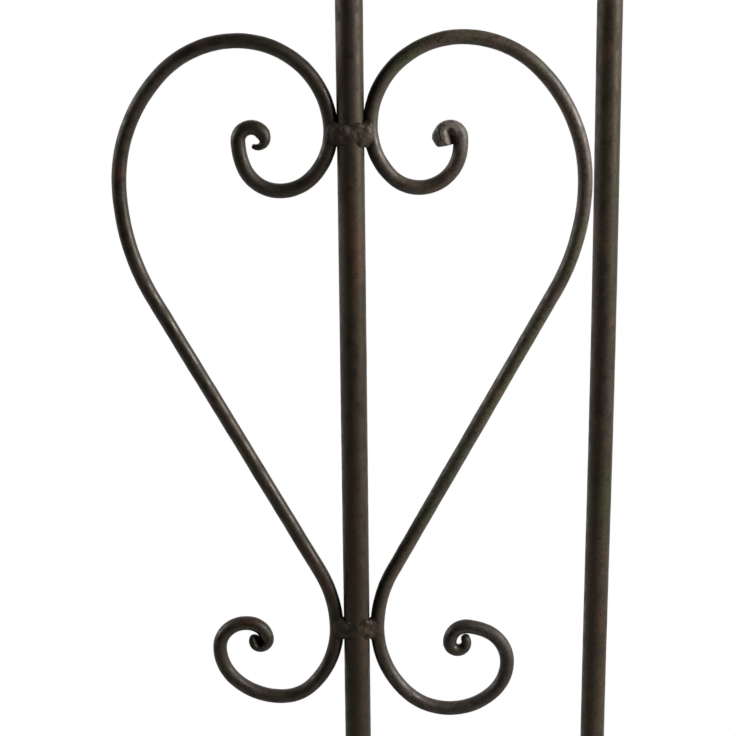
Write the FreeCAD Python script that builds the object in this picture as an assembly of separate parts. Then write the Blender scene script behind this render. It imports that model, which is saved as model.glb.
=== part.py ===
import FreeCAD
import Part
import os
from math import acos, asin, atan2, cos, degrees, hypot, radians, sin, sqrt

Vector = FreeCAD.Vector

# Garden trellis of welded round iron, bowed in plan, with forged hearts on its two front uprights.
# Millimetres. X runs to the right, Y to the back, Z up.
# The origin is at the ground line, midway between the axes of the front uprights.

# Stock sizes
TUBE_OD = 12.0
TUBE_WALL = 1.2
ROD_D = 6.6
RAIL_D = 8.0
SPIKE_D = 8.0

# Plan of the bow: a wide arc across the front and a tighter arc at each end
FRONT_HALF_SPACING = 143.0
FRONT_RADIUS = 900.0
END_RADIUS = 193.2
END_SWEEP_DEG = 43.0
RAIL_STUB = 10.0

# Heights
BOTTOM_RAIL_Z = 230.0
BAY_HEIGHT = 450.0
FRONT_TOP_ABOVE_RAIL = 95.0
BACK_TOP_ABOVE_RAIL = 45.0

# Ground spikes
SPIKE_LENGTH = 210.0
SPIKE_POINT = 34.0
SPIKE_NECK = 8.0
SPIKE_PLUG = 45.0
PLUG_CLEARANCE = 0.05

# Domed caps
CAP_PLUG = 14.0
CAP_RIM = 1.6
CAP_DOME = 4.2

# Hearts: each sits a little above the middle of its bay, and its welds are measured from its middle
HEART_RISE = 20.0
UPPER_WELD_Z = 108.3
LOWER_WELD_Z = -127.3
ROOT_GAP = 0.1

# Radii of the bends of each side: over the lobe from the upper weld, then above and below the leg
LEFT_LOBE = (40.3, 38.7, 47.3, 69.9)
LEFT_LEG = (107.2, 59.3)
RIGHT_LOBE = (42.2, 36.2, 50.0, 70.8)
RIGHT_LEG = (102.3, 56.7)

# Weld beads: half the length along the seam, and the radius across it
HEART_BEAD = (5.2, 3.6)
RAIL_BEAD = (3.8, 2.7)
FOOT_BEAD_LEG = 1.8
FOOT_BEAD_INSET = 0.2
BEAD_CLEARANCE = 0.05

TUBE_R = TUBE_OD / 2
BORE_R = TUBE_R - TUBE_WALL
ROD_R = ROD_D / 2
RAIL_R = RAIL_D / 2
SPIKE_R = SPIKE_D / 2
PLUG_R = BORE_R - PLUG_CLEARANCE
ROWS = ("bottom", "middle", "top")
RAIL_NAMES = ("bottom_rail", "lower_rail", "upper_rail", "top_rail")
RAIL_HEIGHTS = [BOTTOM_RAIL_Z + i * BAY_HEIGHT for i in range(len(RAIL_NAMES))]
TOP_RAIL_Z = RAIL_HEIGHTS[-1]

# Curls, as bends of (radius, sweep in degrees) from the weld to where the taper starts, then the
# tapered bends of the eye, then the share of the rod's thickness that is left at the tip.
UPPER_LEFT_CURL = (
    [(29.8, 45), (18.6, 45), (17.1, 70), (35.1, 20), (1.78 * ROD_R, 150)],
    [(1.78 * ROD_R, 35), (1.01 * ROD_R, 110)],
    0.38,
)
UPPER_RIGHT_CURL = (
    [(29.3, 45), (17.2, 45), (18.0, 80), (30.2, 14)],
    [(1.4 * ROD_R, 190)],
    0.96,
)
LOWER_LEFT_CURL = (
    [(40.5, 45), (20.1, 45), (31.7, 45), (22.9, 45), (12.2, 70), (13.2, 30), (2.79 * ROD_R, 80)],
    [(1.04 * ROD_R, 100), (1.49 * ROD_R, 90)],
    0.32,
)
LOWER_RIGHT_CURL = (
    [(46.8, 45), (29.8, 45), (28.8, 45), (21.5, 45), (17.6, 72), (42.9, 8), (2.35 * ROD_R, 105)],
    [(1.04 * ROD_R, 95), (1.59 * ROD_R, 95)],
    0.5,
)


def save(name, solids):
    shape = solids[0] if len(solids) == 1 else Part.makeCompound(solids)
    shape.exportStep("parts/" + name + ".step")


def swept(spine, sections):
    """Solid swept along a spine, with its faces turned outwards."""
    solid = spine.makePipeShell(sections, True, False)
    if solid.Volume < 0:
        solid.reverse()
    return solid


def polar(length, angle):
    return length * cos(radians(angle)), length * sin(radians(angle))


# Plan positions

def plan_stations():
    """Axis of each upright, and the unit vector from it to the inner side of the bow."""
    lean = degrees(asin(FRONT_HALF_SPACING / FRONT_RADIUS))
    centre_x = FRONT_HALF_SPACING - END_RADIUS * sin(radians(lean))
    centre_y = END_RADIUS * cos(radians(lean))
    far = lean + END_SWEEP_DEG
    back_x = centre_x + END_RADIUS * sin(radians(far))
    back_y = centre_y - END_RADIUS * cos(radians(far))
    stations = {}
    for side, sign in (("left", -1), ("right", 1)):
        front = Vector(sign * FRONT_HALF_SPACING, 0, 0)
        back = Vector(sign * back_x, back_y, 0)
        front_in = Vector(-sign * sin(radians(lean)), cos(radians(lean)), 0)
        back_in = Vector(-sign * sin(radians(far)), cos(radians(far)), 0)
        stations["front_" + side] = (front, front_in)
        stations["back_" + side] = (back, back_in)
    return stations, lean, far, Vector(centre_x, centre_y, 0)


STATIONS, LEAN, FAR, END_CENTRE = plan_stations()


# Uprights, spikes and caps

def upright(axis, top):
    outer = Part.makeCylinder(TUBE_R, top, axis)
    bore = Part.makeCylinder(BORE_R, top, axis)
    return outer.cut(bore)


def ground_spike(axis):
    """Pointed shank below the ground line, with a neck that flares to a plug in the foot of the tube."""
    shank_end = SPIKE_POINT - SPIKE_LENGTH
    profile = [
        Vector(0, 0, -SPIKE_LENGTH),
        Vector(SPIKE_R, 0, shank_end),
        Vector(SPIKE_R, 0, -SPIKE_NECK),
        Vector(PLUG_R, 0, 0),
        Vector(PLUG_R, 0, SPIKE_PLUG),
        Vector(0, 0, SPIKE_PLUG),
        Vector(0, 0, -SPIKE_LENGTH),
    ]
    solid = Part.Face(Part.makePolygon(profile)).revolve(Vector(0, 0, 0), Vector(0, 0, 1), 360)
    return solid.translated(axis)


def foot_weld(axis):
    """Ring of weld between the end of the tube and the neck of its spike."""
    neck_r = PLUG_R + (SPIKE_R - PLUG_R) * FOOT_BEAD_LEG / SPIKE_NECK
    inner = Vector(PLUG_R, 0, 0)
    outer = Vector(TUBE_R - FOOT_BEAD_INSET, 0, 0)
    lower = Vector(neck_r, 0, -FOOT_BEAD_LEG)
    bulge = (outer + lower) * 0.5 + Vector(0.2, 0, -0.15) * FOOT_BEAD_LEG
    edges = [
        Part.makeLine(inner, outer),
        Part.Arc(outer, bulge, lower).toShape(),
        Part.makeLine(lower, inner),
    ]
    ring = Part.Face(Part.Wire(edges)).revolve(Vector(0, 0, 0), Vector(0, 0, 1), 360)
    return ring.translated(axis)


def cap(axis, top):
    """Plug, rim and dome that close the top of a tube."""
    shoulder = Vector(TUBE_R, 0, CAP_RIM)
    crown = Vector(0, 0, CAP_RIM + CAP_DOME)
    radius = (TUBE_R ** 2 + CAP_DOME ** 2) / (2 * CAP_DOME)
    half = asin(TUBE_R / radius) / 2
    middle = Vector(radius * sin(half), 0, CAP_RIM + CAP_DOME - radius * (1 - cos(half)))
    edges = [
        Part.makeLine(Vector(0, 0, -CAP_PLUG), Vector(PLUG_R, 0, -CAP_PLUG)),
        Part.makeLine(Vector(PLUG_R, 0, -CAP_PLUG), Vector(PLUG_R, 0, 0)),
        Part.makeLine(Vector(PLUG_R, 0, 0), Vector(TUBE_R, 0, 0)),
        Part.makeLine(Vector(TUBE_R, 0, 0), shoulder),
        Part.Arc(shoulder, middle, crown).toShape(),
        Part.makeLine(crown, Vector(0, 0, -CAP_PLUG)),
    ]
    solid = Part.Face(Part.Wire(edges)).revolve(Vector(0, 0, 0), Vector(0, 0, 1), 360)
    return solid.translated(axis + Vector(0, 0, top))


# Rails

def plan_arc(centre, radius, first, last, z):
    """Arc in plan. Angles are measured from the front, towards the right end."""
    points = []
    for angle in (first, (first + last) / 2, last):
        x = centre.x + radius * sin(radians(angle))
        y = centre.y - radius * cos(radians(angle))
        points.append(Vector(x, y, z))
    return Part.Arc(*points).toShape(), points[0], points[2]


def rail(z):
    """Round bar bent to the bow, against the inner side of all four uprights."""
    inset = TUBE_R + RAIL_R
    front_centre = Vector(0, FRONT_RADIUS * cos(radians(LEAN)), 0)
    end_radius = END_RADIUS - inset
    far = FAR + degrees(RAIL_STUB / end_radius)
    left_centre = Vector(-END_CENTRE.x, END_CENTRE.y, 0)
    left, start, _ = plan_arc(left_centre, end_radius, -far, -LEAN, z)
    front, _, _ = plan_arc(front_centre, FRONT_RADIUS - inset, -LEAN, LEAN, z)
    right, _, _ = plan_arc(END_CENTRE, end_radius, LEAN, far, z)
    heading = Vector(cos(radians(far)), -sin(radians(far)), 0)
    section = Part.Wire([Part.makeCircle(RAIL_R, start, heading)])
    return swept(Part.Wire([left, front, right]), [section])


# Scrolls, drawn in the plane of the heart as (x, z) from the middle of the heart

def bend(point, heading, radius, sweep):
    """One arc from a point and heading. A positive sweep turns to the left."""
    side = 90 if sweep > 0 else -90
    dx, dz = polar(radius, heading + side)
    centre = (point[0] + dx, point[1] + dz)
    places = []
    for share in (0, 0.5, 1):
        ox, oz = polar(radius, heading - side + share * sweep)
        places.append((centre[0] + ox, centre[1] + oz))
    return places, heading + sweep


def chain(point, heading, bends):
    arcs = []
    for radius, sweep in bends:
        places, heading = bend(point, heading, radius, sweep)
        arcs.append(places)
        point = places[-1]
    return arcs, point, heading


def heart_side(lobe, leg):
    """Arcs from the upper weld over the lobe and down the leg to the lower weld."""
    contact = TUBE_R + ROD_R + ROOT_GAP
    above, below = leg
    arcs, widest, heading = chain((contact, UPPER_WELD_Z), 90, [(radius, -45) for radius in lobe])
    # The straight leg is the crossing tangent of its upper and lower arcs.
    dx = contact + below - (widest[0] - above)
    dz = LOWER_WELD_Z - widest[1]
    reach = above + below
    slope = degrees(atan2(-dz, dx) - acos(reach / hypot(dx, dz)))
    upper, start, heading = chain(widest, heading, [(above, -slope)])
    length = sqrt(dx ** 2 + dz ** 2 - reach ** 2)
    ex, ez = polar(length, heading)
    end = (start[0] + ex, start[1] + ez)
    lower, _, _ = chain(end, heading, [(below, slope)])
    return arcs + upper + [[start, end]] + lower


def edge_of(places, sign):
    points = [Vector(sign * x, 0, z) for x, z in places]
    if len(points) == 2:
        return Part.makeLine(points[0], points[1])
    return Part.Arc(*points).toShape()


def ring(point, heading, radius, sign):
    hx, hz = polar(1, heading)
    centre = Vector(sign * point[0], 0, point[1])
    return Part.Wire([Part.makeCircle(radius, centre, Vector(sign * hx, 0, hz))])


def eye(arcs, start, heading, sign, tip_share):
    """Tapered end of a curl with a rounded tip."""
    tip_r = tip_share * ROD_R
    spine = Part.Wire([edge_of(a, sign) for a in arcs])
    tip = arcs[-1][-1]
    first = ring(start[0], start[1], ROD_R, sign)
    last = ring(tip, heading, tip_r, sign)
    taper = swept(spine, [first, last])
    if tip_share > 0.9:
        return taper
    return taper.fuse(Part.makeSphere(tip_r, Vector(sign * tip[0], 0, tip[1])))


def scroll(sign, lobe, leg, upper_curl, lower_curl):
    contact = TUBE_R + ROD_R + ROOT_GAP
    down = 270
    top, top_end, top_heading = chain((contact, UPPER_WELD_Z), down, upper_curl[0])
    foot, foot_end, foot_heading = chain((contact, LOWER_WELD_Z), down, lower_curl[0])
    arcs = [list(reversed(a)) for a in reversed(top)] + heart_side(lobe, leg) + foot
    spine = Part.Wire([edge_of(a, sign) for a in arcs])
    rod = swept(spine, [ring(top_end, top_heading + 180, ROD_R, sign)])
    for end, heading, curl in ((top_end, top_heading, upper_curl), (foot_end, foot_heading, lower_curl)):
        eye_arcs, _, last = chain(end, heading, curl[1])
        rod = rod.fuse(eye(eye_arcs, (end, heading), last, sign, curl[2]))
    return rod.removeSplitter()


# Weld beads

def lump(half_length, radius, along):
    """Round-ended bead of weld metal, drawn out along its seam."""
    reach = along * (half_length - radius)
    bead = Part.makeCylinder(radius, 2 * reach.Length, -reach, along)
    for end in (-reach, reach):
        bead = bead.fuse(Part.makeSphere(radius, end))
    return bead.removeSplitter()


def seated(bead, tube, bar):
    """The part of a lump that is left outside the pieces that it joins."""
    rest = bead.cut(tube).cut(bar)
    return max(rest.Solids, key=lambda solid: solid.Volume)


def heart_beads(pair):
    """Lumps in the front corner between each scroll and its upright, at both welds."""
    tube = Part.makeCylinder(TUBE_R + BEAD_CLEARANCE, 2 * BAY_HEIGHT, Vector(0, 0, -BAY_HEIGHT))
    beads = []
    for sign, rod in pair:
        for z in (UPPER_WELD_Z, LOWER_WELD_Z):
            bead = lump(*HEART_BEAD, Vector(0, 0, 1))
            bead.translate(Vector(sign * 0.92 * TUBE_R, -0.68 * TUBE_R, z))
            beads.append(seated(bead, tube, rod))
    return beads


def rail_beads(bar):
    """Lumps above and below the rail, on the inner side of each upright."""
    beads = []
    for axis, inward in STATIONS.values():
        tube = Part.makeCylinder(TUBE_R + BEAD_CLEARANCE, 8 * RAIL_D, axis - Vector(0, 0, 4 * RAIL_D))
        along = Vector(inward.y, -inward.x, 0)
        for sign in (-1, 1):
            bead = lump(*RAIL_BEAD, along)
            bead.translate(axis + inward * (TUBE_R + 0.2 * RAIL_R))
            bead.translate(Vector(0, 0, sign * 0.95 * RAIL_R))
            beads.append(seated(bead, tube, bar))
    return beads


def moved(solids, place):
    return [solid.translated(place) for solid in solids]


# Build

os.makedirs("parts", exist_ok=True)
for name, (axis, inward) in STATIONS.items():
    above = FRONT_TOP_ABOVE_RAIL if name.startswith("front") else BACK_TOP_ABOVE_RAIL
    top = TOP_RAIL_Z + above
    save(name + "_upright", [upright(axis, top)])
    save(name + "_ground_spike", [ground_spike(axis)])
    save(name + "_cap", [cap(axis, top)])
save("ground_spike_welds", [foot_weld(axis) for axis, inward in STATIONS.values()])

bar = rail(0)
bar_beads = rail_beads(bar)
for name, z in zip(RAIL_NAMES, RAIL_HEIGHTS):
    save(name, moved([bar], Vector(0, 0, z)))
    save(name + "_welds", moved(bar_beads, Vector(0, 0, z)))

left = scroll(-1, LEFT_LOBE, LEFT_LEG, UPPER_LEFT_CURL, LOWER_LEFT_CURL)
right = scroll(1, RIGHT_LOBE, RIGHT_LEG, UPPER_RIGHT_CURL, LOWER_RIGHT_CURL)
beads = heart_beads(((-1, left), (1, right)))
for row, rail_z in zip(ROWS, RAIL_HEIGHTS):
    for side in ("left", "right"):
        place = STATIONS["front_" + side][0] + Vector(0, 0, rail_z + BAY_HEIGHT / 2 + HEART_RISE)
        heart = row + "_" + side + "_heart"
        save(heart + "_left_scroll", moved([left], place))
        save(heart + "_right_scroll", moved([right], place))
        save(heart + "_welds", moved(beads, place))
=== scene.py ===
"""Dresses a garden trellis of welded iron: forged scrolls, weld metal, tubes, rails and their patina."""

from math import acos, asin, atan2, ceil, copysign, cos, degrees, hypot, pi, radians, sin, sqrt

import bpy
from bpy.props import FloatProperty, FloatVectorProperty, IntProperty, PointerProperty
from mathutils import Matrix, Vector


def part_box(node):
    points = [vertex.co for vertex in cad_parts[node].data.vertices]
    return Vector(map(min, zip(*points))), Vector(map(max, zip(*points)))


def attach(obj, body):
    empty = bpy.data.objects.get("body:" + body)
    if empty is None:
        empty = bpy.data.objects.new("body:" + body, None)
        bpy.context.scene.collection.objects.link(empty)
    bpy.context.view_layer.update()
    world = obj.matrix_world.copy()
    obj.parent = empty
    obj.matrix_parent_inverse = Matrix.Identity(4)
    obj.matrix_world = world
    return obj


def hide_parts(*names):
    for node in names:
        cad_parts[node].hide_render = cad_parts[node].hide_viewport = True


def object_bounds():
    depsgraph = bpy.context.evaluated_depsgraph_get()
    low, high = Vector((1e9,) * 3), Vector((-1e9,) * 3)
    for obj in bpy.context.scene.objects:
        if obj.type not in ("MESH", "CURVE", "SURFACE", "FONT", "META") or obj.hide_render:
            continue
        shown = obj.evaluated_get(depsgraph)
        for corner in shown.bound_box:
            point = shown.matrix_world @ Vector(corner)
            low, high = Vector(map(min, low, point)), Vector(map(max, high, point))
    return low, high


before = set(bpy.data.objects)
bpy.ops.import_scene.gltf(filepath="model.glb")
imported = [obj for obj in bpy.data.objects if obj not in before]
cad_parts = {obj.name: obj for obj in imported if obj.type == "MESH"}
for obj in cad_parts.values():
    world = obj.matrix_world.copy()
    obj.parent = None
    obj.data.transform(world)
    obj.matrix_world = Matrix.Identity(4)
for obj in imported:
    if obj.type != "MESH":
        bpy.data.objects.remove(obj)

bl_info = {
    "name": "Curved trellis",
    "version": (1, 0, 0),
    "blender": (4, 5, 0),
    "location": "View3D > Sidebar > Trellis",
    "description": "Models the forged and welded iron of a curved garden trellis over its frame",
    "category": "Object",
}

CAD_BOX = [list(corner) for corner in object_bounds()]
MM = 0.001
BODY = "root"
ROWS = ("bottom", "middle", "top")
SIDES = ("left", "right")
RAILS = ("bottom_rail", "lower_rail", "upper_rail", "top_rail")
STATIONS = ("front_left", "front_right", "back_left", "back_right")


def middle(node):
    low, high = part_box(node)
    return (low + high) / 2


def thickness(node):
    low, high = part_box(node)
    return high.x - low.x


# Sizes and colours that a user would change


class TrellisForging(bpy.types.PropertyGroup):
    """Sizes of the forged and welded work."""

    rod: FloatProperty(
        name="Scroll rod", description="Thickness of the rod of the scrolls",
        default=6.6 * MM, min=MM, precision=5, unit="LENGTH")
    tube: FloatProperty(
        name="Upright tube", description="Outer thickness of the tube of the uprights",
        default=thickness("front_right_upright"), min=MM, precision=5, unit="LENGTH")
    rail: FloatProperty(
        name="Rail bar", description="Thickness of the bar of the rails",
        default=8.0 * MM, min=MM, precision=5, unit="LENGTH")
    bow_radius: FloatProperty(
        name="Bow radius", description="Radius of the front of the bow in plan, at the uprights",
        default=900.0 * MM, precision=5, unit="LENGTH")
    end_radius: FloatProperty(
        name="End radius", description="Radius of each end of the bow in plan, at the uprights",
        default=193.2 * MM, precision=5, unit="LENGTH")
    end_sweep: FloatProperty(
        name="End sweep", description="Turn of each end of the bow, from its front to its back upright",
        default=radians(43.0), unit="ROTATION")
    rail_stub: FloatProperty(
        name="Rail stub", description="Length of a rail beyond its back uprights",
        default=10.0 * MM, precision=5, unit="LENGTH")
    heart_rise: FloatProperty(
        name="Heart rise", description="Height of the middle of a heart above the rail below it",
        default=245.0 * MM, precision=5, unit="LENGTH")
    ring_spacing: FloatProperty(
        name="Ring spacing", description="Distance between the rings of a rod's mesh",
        default=1.5 * MM, min=0.2 * MM, precision=5, unit="LENGTH")
    rod_sides: IntProperty(
        name="Rod sides", description="Sides of a rod's rings", default=24, min=8, max=64)
    hammer_depth: FloatProperty(
        name="Hammer depth", description="Unevenness that forging leaves on a rod",
        default=0.28 * MM, min=0.0, precision=5, unit="LENGTH")
    weld_depth: FloatProperty(
        name="Weld lumpiness", description="Unevenness of the weld metal",
        default=0.9 * MM, min=0.0, precision=5, unit="LENGTH")


class TrellisPatina(bpy.types.PropertyGroup):
    """Colours of the patina on the iron."""

    umber: FloatVectorProperty(
        name="Umber", description="Darkest tone of the patina", subtype="COLOR", size=3,
        min=0.0, max=1.0, default=(0.0135, 0.0108, 0.0068))
    brown: FloatVectorProperty(
        name="Brown", description="Main tone of the patina", subtype="COLOR", size=3,
        min=0.0, max=1.0, default=(0.0370, 0.0282, 0.0190))
    russet: FloatVectorProperty(
        name="Russet", description="Patches of red-brown oxide", subtype="COLOR", size=3,
        min=0.0, max=1.0, default=(0.0620, 0.0300, 0.0175))
    olive: FloatVectorProperty(
        name="Olive", description="Patches of green-grey oxide", subtype="COLOR", size=3,
        min=0.0, max=1.0, default=(0.0260, 0.0290, 0.0135))
    # Paler metal at the rolled ends: partly rubbed metal, partly painted light and painted reflection on
    # their hammered flats, lit from the upper left
    rubbed_and_painted_light: FloatVectorProperty(
        name="Rubbed", description="Paler metal at the rolled ends", subtype="COLOR", size=3,
        min=0.0, max=1.0, default=(0.330, 0.290, 0.255))
    chalk: FloatVectorProperty(
        name="Chalk", description="Pale specks of dust and bare metal", subtype="COLOR", size=3,
        min=0.0, max=1.0, default=(0.105, 0.088, 0.070))


class TrellisStage(bpy.types.PropertyGroup):
    """Camera, light and floor."""

    distance: FloatProperty(
        name="Distance", description="From the camera to the middle of the heart that it shows",
        default=0.9063, precision=4, unit="LENGTH")
    pitch: FloatProperty(
        name="Pitch", description="How far the camera looks down", default=radians(16.0), unit="ROTATION")
    roll: FloatProperty(
        name="Roll", description="Tilt of the camera about its line of sight",
        default=radians(-0.73), unit="ROTATION")
    lens: FloatProperty(
        name="Lens", description="Focal length on a sensor 36 mm wide", default=97.83, unit="CAMERA")
    shift: FloatProperty(
        name="Shift", description="Sideways shift of the lens, in widths of the picture",
        default=14.5 / 736, precision=5)
    key_power: FloatProperty(
        name="Key light", description="Power of the large light at the right", default=38.0, unit="POWER")
    fill_power: FloatProperty(
        name="Fill light", description="Power of the large light at the left", default=16.0, unit="POWER")
    floor_colour: FloatVectorProperty(
        name="Floor", description="Colour of the floor", subtype="COLOR", size=3,
        min=0.0, max=1.0, default=(0.80, 0.80, 0.79))


# Working with objects


def deselect():
    if bpy.context.mode != "OBJECT":
        bpy.ops.object.mode_set(mode="OBJECT")
    bpy.ops.object.select_all(action="DESELECT")


def pick(*objects):
    deselect()
    for obj in objects:
        obj.select_set(True)
    bpy.context.view_layer.objects.active = objects[0]


def settle(obj):
    """Puts the place of an object into its mesh."""
    pick(obj)
    bpy.ops.object.transform_apply(location=True, rotation=True, scale=True)


def copied(pattern, name, offset=(0, 0, 0)):
    pick(pattern)
    bpy.ops.object.duplicate(linked=False)
    copy = bpy.context.object
    copy.name = name
    copy.data.name = name
    bpy.ops.transform.translate(value=offset)
    settle(copy)
    return copy


def discard(obj):
    pick(obj)
    bpy.ops.object.delete()


def joined(objects, name):
    pick(*objects)
    if len(objects) > 1:
        bpy.ops.object.join()
    obj = bpy.context.object
    obj.name = name
    obj.data.name = name
    return obj


def modified(obj, kind, **settings):
    """Adds one modifier and applies it."""
    pick(obj)
    bpy.ops.object.modifier_add(type=kind)
    modifier = obj.modifiers[-1]
    for key, value in settings.items():
        setattr(modifier, key, value)
    bpy.ops.object.modifier_apply(modifier=modifier.name)


def edit_all():
    bpy.ops.object.mode_set(mode="EDIT")
    bpy.ops.mesh.select_all(action="SELECT")


def close_edit():
    """Turns all faces outwards and leaves edit mode."""
    bpy.ops.mesh.select_all(action="SELECT")
    bpy.ops.mesh.normals_make_consistent(inside=False)
    bpy.ops.object.mode_set(mode="OBJECT")


def first_ring(name, sides, radius, place, rotation=(0, 0, 0), fill="NOTHING"):
    """Starts a piece as one ring, in edit mode with all of it selected."""
    deselect()
    bpy.ops.mesh.primitive_circle_add(
        vertices=sides, radius=radius, fill_type=fill, location=place, rotation=rotation)
    obj = bpy.context.object
    obj.name = name
    settle(obj)
    edit_all()
    return obj


def drawn_out(advance, centre, scale):
    """Extrudes the selected ring and scales the new one about its middle."""
    bpy.ops.mesh.extrude_region_move(TRANSFORM_OT_translate={"value": advance})
    bpy.ops.transform.resize(value=scale, center_override=centre)


# Size of the lumps of each kind of relief
LUMPS = {
    "hammer_blows": 14 * MM,
    "hammer_scale": 3.5 * MM,
    "tube_scale": 9 * MM,
    "weld_runs": 3.2 * MM,
    "weld_spatter": 1.1 * MM,
}


def uneven(obj, level=0.5, **reliefs):
    """Raises cloudy reliefs of the given depths on a mesh, as hammered or molten metal has them."""
    for kind, depth in reliefs.items():
        texture = bpy.data.textures.get(kind)
        if texture is None:
            texture = bpy.data.textures.new(kind, "CLOUDS")
            texture.noise_scale = LUMPS[kind]
            texture.noise_depth = 2
            texture.noise_basis = "ORIGINAL_PERLIN"
        modified(
            obj, "DISPLACE", texture=texture, texture_coords="LOCAL", strength=depth, mid_level=level)


def hand_over(obj, material, slot, *nodes, angle=40):
    """Shades a finished piece smooth, gives it its finish and its place on the frame, and hides the nodes
    that it stands for.
    """
    pick(obj)
    bpy.ops.object.shade_smooth_by_angle(angle=radians(angle))
    obj.data.materials.clear()
    obj.data.materials.append(material)
    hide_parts(*nodes)
    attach(obj, BODY)


# Materials


class Nodes:
    """Adds and links the nodes of one material or world."""

    def __init__(self, owner, coordinates):
        owner.use_nodes = True
        self.owner = owner
        self.tree = owner.node_tree
        self.tree.nodes.clear()
        self.place = self.add("TexCoord").outputs[coordinates]

    def add(self, kind, inputs=None, **settings):
        """Adds a node, makes its settings, and links its inputs or gives them their values."""
        node = self.tree.nodes.new("ShaderNode" + kind)
        for key, value in settings.items():
            setattr(node, key, value)
        for key, value in (inputs or {}).items():
            if isinstance(value, bpy.types.NodeSocket):
                self.tree.links.new(value, node.inputs[key])
            else:
                node.inputs[key].default_value = value
        return node

    def math(self, operation, a, b):
        return self.add("Math", {0: a, 1: b}, operation=operation).outputs["Value"]

    def noise(self, scale, detail, rough, shift=(0, 0, 0), twist=0.0, tall=1.0):
        mapping = self.add(
            "Mapping", {"Vector": self.place, "Location": shift, "Scale": (1.0, 1.0, 1.0 / tall)})
        noise = self.add("TexNoise", {
            "Vector": mapping.outputs["Vector"], "Scale": scale, "Detail": detail, "Roughness": rough,
            "Distortion": twist})
        return noise.outputs["Fac"]

    def distance(self, point):
        return self.add("VectorMath", {0: self.place, 1: point}, operation="DISTANCE").outputs["Value"]

    def ranged(self, source, low, high, out_low=0.0, out_high=1.0):
        node = self.add("MapRange", {
            "Value": source, "From Min": low, "From Max": high, "To Min": out_low, "To Max": out_high,
        }, interpolation_type="SMOOTHSTEP")
        return node.outputs["Result"]

    def mixed(self, factor, a, b):
        """Mixes two tones, each the output of a node or a colour."""
        a, b = (tone if isinstance(tone, bpy.types.NodeSocket) else (*tone, 1.0) for tone in (a, b))
        return self.add("Mix", {0: factor, 6: a, 7: b}, data_type="RGBA").outputs[2]

    def bump(self, height, strength, distance, **under):
        node = self.add("Bump", {"Height": height, "Strength": strength, "Distance": distance, **under})
        return node.outputs["Normal"]

    def blended(self, factor, a, b):
        """Mixes two shaders."""
        return self.add("MixShader", {0: factor, 1: a, 2: b}).outputs[0]

    def seen(self, mirrored=1.0):
        """What the camera sees, straight or to a given share in gloss and glass."""
        path = self.add("LightPath").outputs
        gloss = self.math("MAXIMUM", path["Is Glossy Ray"], path["Is Transmission Ray"])
        return self.math("MAXIMUM", path["Is Camera Ray"], self.math("MULTIPLY", gloss, mirrored))


# Layers of the patina. Each is a noise, by its lumps per metre, detail, roughness, twist and shift, and
# the levels of that noise between which the layer sets in, with its strength at each level.
CLOUDS = {"scale": 36.0, "detail": 5.0, "rough": 0.65, "twist": 0.4}
CLOUD_LEVELS = (0.34, 0.66)
RUSSET = {"scale": 52.0, "detail": 5.0, "rough": 0.6, "twist": 0.8}
OLIVE = {"scale": 40.0, "detail": 5.0, "rough": 0.58, "twist": 0.5, "shift": (3.1, 1.7, 0.4)}
FLECKS = {"scale": 380.0, "detail": 4.0, "rough": 0.65, "shift": (5.2, 0.9, 1.6)}
FLECK_LEVELS = (0.54, 0.64, 0.0, 0.45)
PITS = {"scale": 720.0, "detail": 3.0, "rough": 0.6}
PIT_LEVELS = (0.30, 0.54, 0.75, 0.0)
SPECKS = {"scale": 1500.0, "detail": 1.0, "rough": 0.5, "shift": (1.3, 0.2, 2.2)}
SPECK_LEVELS = (0.71, 0.76, 0.0, 0.55)
WEAR = {"scale": 150.0, "detail": 4.0, "rough": 0.6}
WEAR_LEVELS = (0.30, 0.70)

# Patches of oxide: the level where they start, and how far an amount of 1 lowers their start and where
# they are full. Then, for each kind, the level where they are full and their strength.
PATCH_START, START_DROP, FULL_DROP = 0.62, 0.12, 0.10
RUSSET_FULL, RUSSET_STRENGTH = 0.74, 0.95
OLIVE_FULL, OLIVE_STRENGTH = 0.76, 0.9

# Depth of the bump of pits and wear, the share of the relief that wear has, how much smoother and
# rougher than its mean it makes the iron, and the shade of the clouds in a spot
PIT_DEPTH, WEAR_DEPTH = 0.25 * MM, 0.6 * MM
WEAR_RELIEF = 0.6
SMOOTHER, ROUGHER = 0.13, 0.18
SPOT_SHADE = 0.6


def patch_levels(amount, full, strength):
    return PATCH_START - START_DROP * amount, full - FULL_DROP * amount, 0.0, strength


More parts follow.
